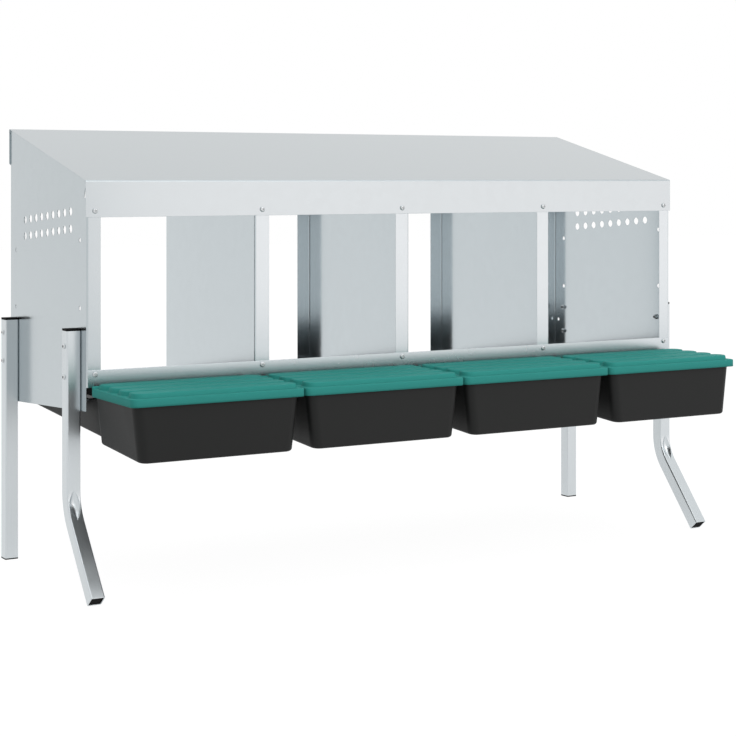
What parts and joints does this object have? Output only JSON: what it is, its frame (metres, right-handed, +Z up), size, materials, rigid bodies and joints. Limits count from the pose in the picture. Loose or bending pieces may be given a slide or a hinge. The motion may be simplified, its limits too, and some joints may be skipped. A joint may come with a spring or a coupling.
{
  "type": "chicken nesting box",
  "caption": "Free-standing galvanised roll-out nesting box with open bays in a row, slide-out black trays with egg troughs under hinged green lids, and bent tube legs.",
  "frame": {"origin": "middle of the overall box in plan, on the floor", "axes": "+X along the row of bays, to the right when facing the windows; +Y towards the open back; +Z up"},
  "size_m": [1.1484, 0.5134, 0.6953],
  "materials": {
    "galvanised_sheet": "bright galvanised",
    "runner_sheet": "bright galvanised",
    "leg_tube": "zinc plated",
    "cap_plastic": "matte",
    "zinc_fasteners": "zinc plated",
    "tray_plastic": "fine moulded grain",
    "lid_plastic": "satin moulded",
    "pin_steel": "bright drawn"
  },
  "bodies": {
    "frame": {"roof_panel": "galvanised_sheet", "left_side_panel": "galvanised_sheet", "right_side_panel": "galvanised_sheet", "divider_1": "galvanised_sheet", "divider_2": "galvanised_sheet", "divider_3": "galvanised_sheet", "front_rail": "galvanised_sheet", "rear_sill": "galvanised_sheet", "tray_runner_1_left": "runner_sheet", "tray_runner_1_right": "runner_sheet", "tray_runner_2_left": "runner_sheet", "tray_runner_2_right": "runner_sheet", "tray_runner_3_left": "runner_sheet", "tray_runner_3_right": "runner_sheet", "tray_runner_4_left": "runner_sheet", "tray_runner_4_right": "runner_sheet", "front_left_leg": "leg_tube", "front_right_leg": "leg_tube", "rear_left_leg": "leg_tube", "rear_right_leg": "leg_tube", "leg_top_caps": "cap_plastic", "front_foot_plugs": "cap_plastic", "rear_foot_plugs": "cap_plastic", "leg_bolts": "zinc_fasteners", "leg_washers": "zinc_fasteners", "leg_nuts": "zinc_fasteners", "fascia_screws": "zinc_fasteners", "rail_screws": "zinc_fasteners", "rear_lip_screws": "zinc_fasteners", "sill_screws": "zinc_fasteners"},
    "tray_unit_1": {"tray_1": "tray_plastic", "hinge_pins_1": "pin_steel"},
    "lid_unit_1": {"lid_1": "lid_plastic"},
    "tray_unit_2": {"tray_2": "tray_plastic", "hinge_pins_2": "pin_steel"},
    "lid_unit_2": {"lid_2": "lid_plastic"},
    "tray_unit_3": {"tray_3": "tray_plastic", "hinge_pins_3": "pin_steel"},
    "lid_unit_3": {"lid_3": "lid_plastic"},
    "tray_unit_4": {"tray_4": "tray_plastic", "hinge_pins_4": "pin_steel"},
    "lid_unit_4": {"lid_4": "lid_plastic"}
  },
  "joints": [
    {"name": "tray_1_slide", "type": "slide", "parent": "frame", "child": "tray_unit_1", "axis": [0, -1, 0], "range_m": [0, 0.28]},
    {"name": "lid_1_hinge", "type": "hinge", "parent": "tray_unit_1", "child": "lid_unit_1", "pos_m": [-0.412, -0.0997, 0.305], "axis": [-1, 0, 0], "range_deg": [0, 90]},
    {"name": "tray_2_slide", "type": "slide", "parent": "frame", "child": "tray_unit_2", "axis": [0, -1, 0], "range_m": [0, 0.28]},
    {"name": "lid_2_hinge", "type": "hinge", "parent": "tray_unit_2", "child": "lid_unit_2", "pos_m": [-0.134, -0.0997, 0.305], "axis": [-1, 0, 0], "range_deg": [0, 90]},
    {"name": "tray_3_slide", "type": "slide", "parent": "frame", "child": "tray_unit_3", "axis": [0, -1, 0], "range_m": [0, 0.28]},
    {"name": "lid_3_hinge", "type": "hinge", "parent": "tray_unit_3", "child": "lid_unit_3", "pos_m": [0.1465, -0.0997, 0.305], "axis": [-1, 0, 0], "range_deg": [0, 90]},
    {"name": "tray_4_slide", "type": "slide", "parent": "frame", "child": "tray_unit_4", "axis": [0, -1, 0], "range_m": [0, 0.28]},
    {"name": "lid_4_hinge", "type": "hinge", "parent": "tray_unit_4", "child": "lid_unit_4", "pos_m": [0.4185, -0.0997, 0.305], "axis": [-1, 0, 0], "range_deg": [0, 90]}
  ]
}
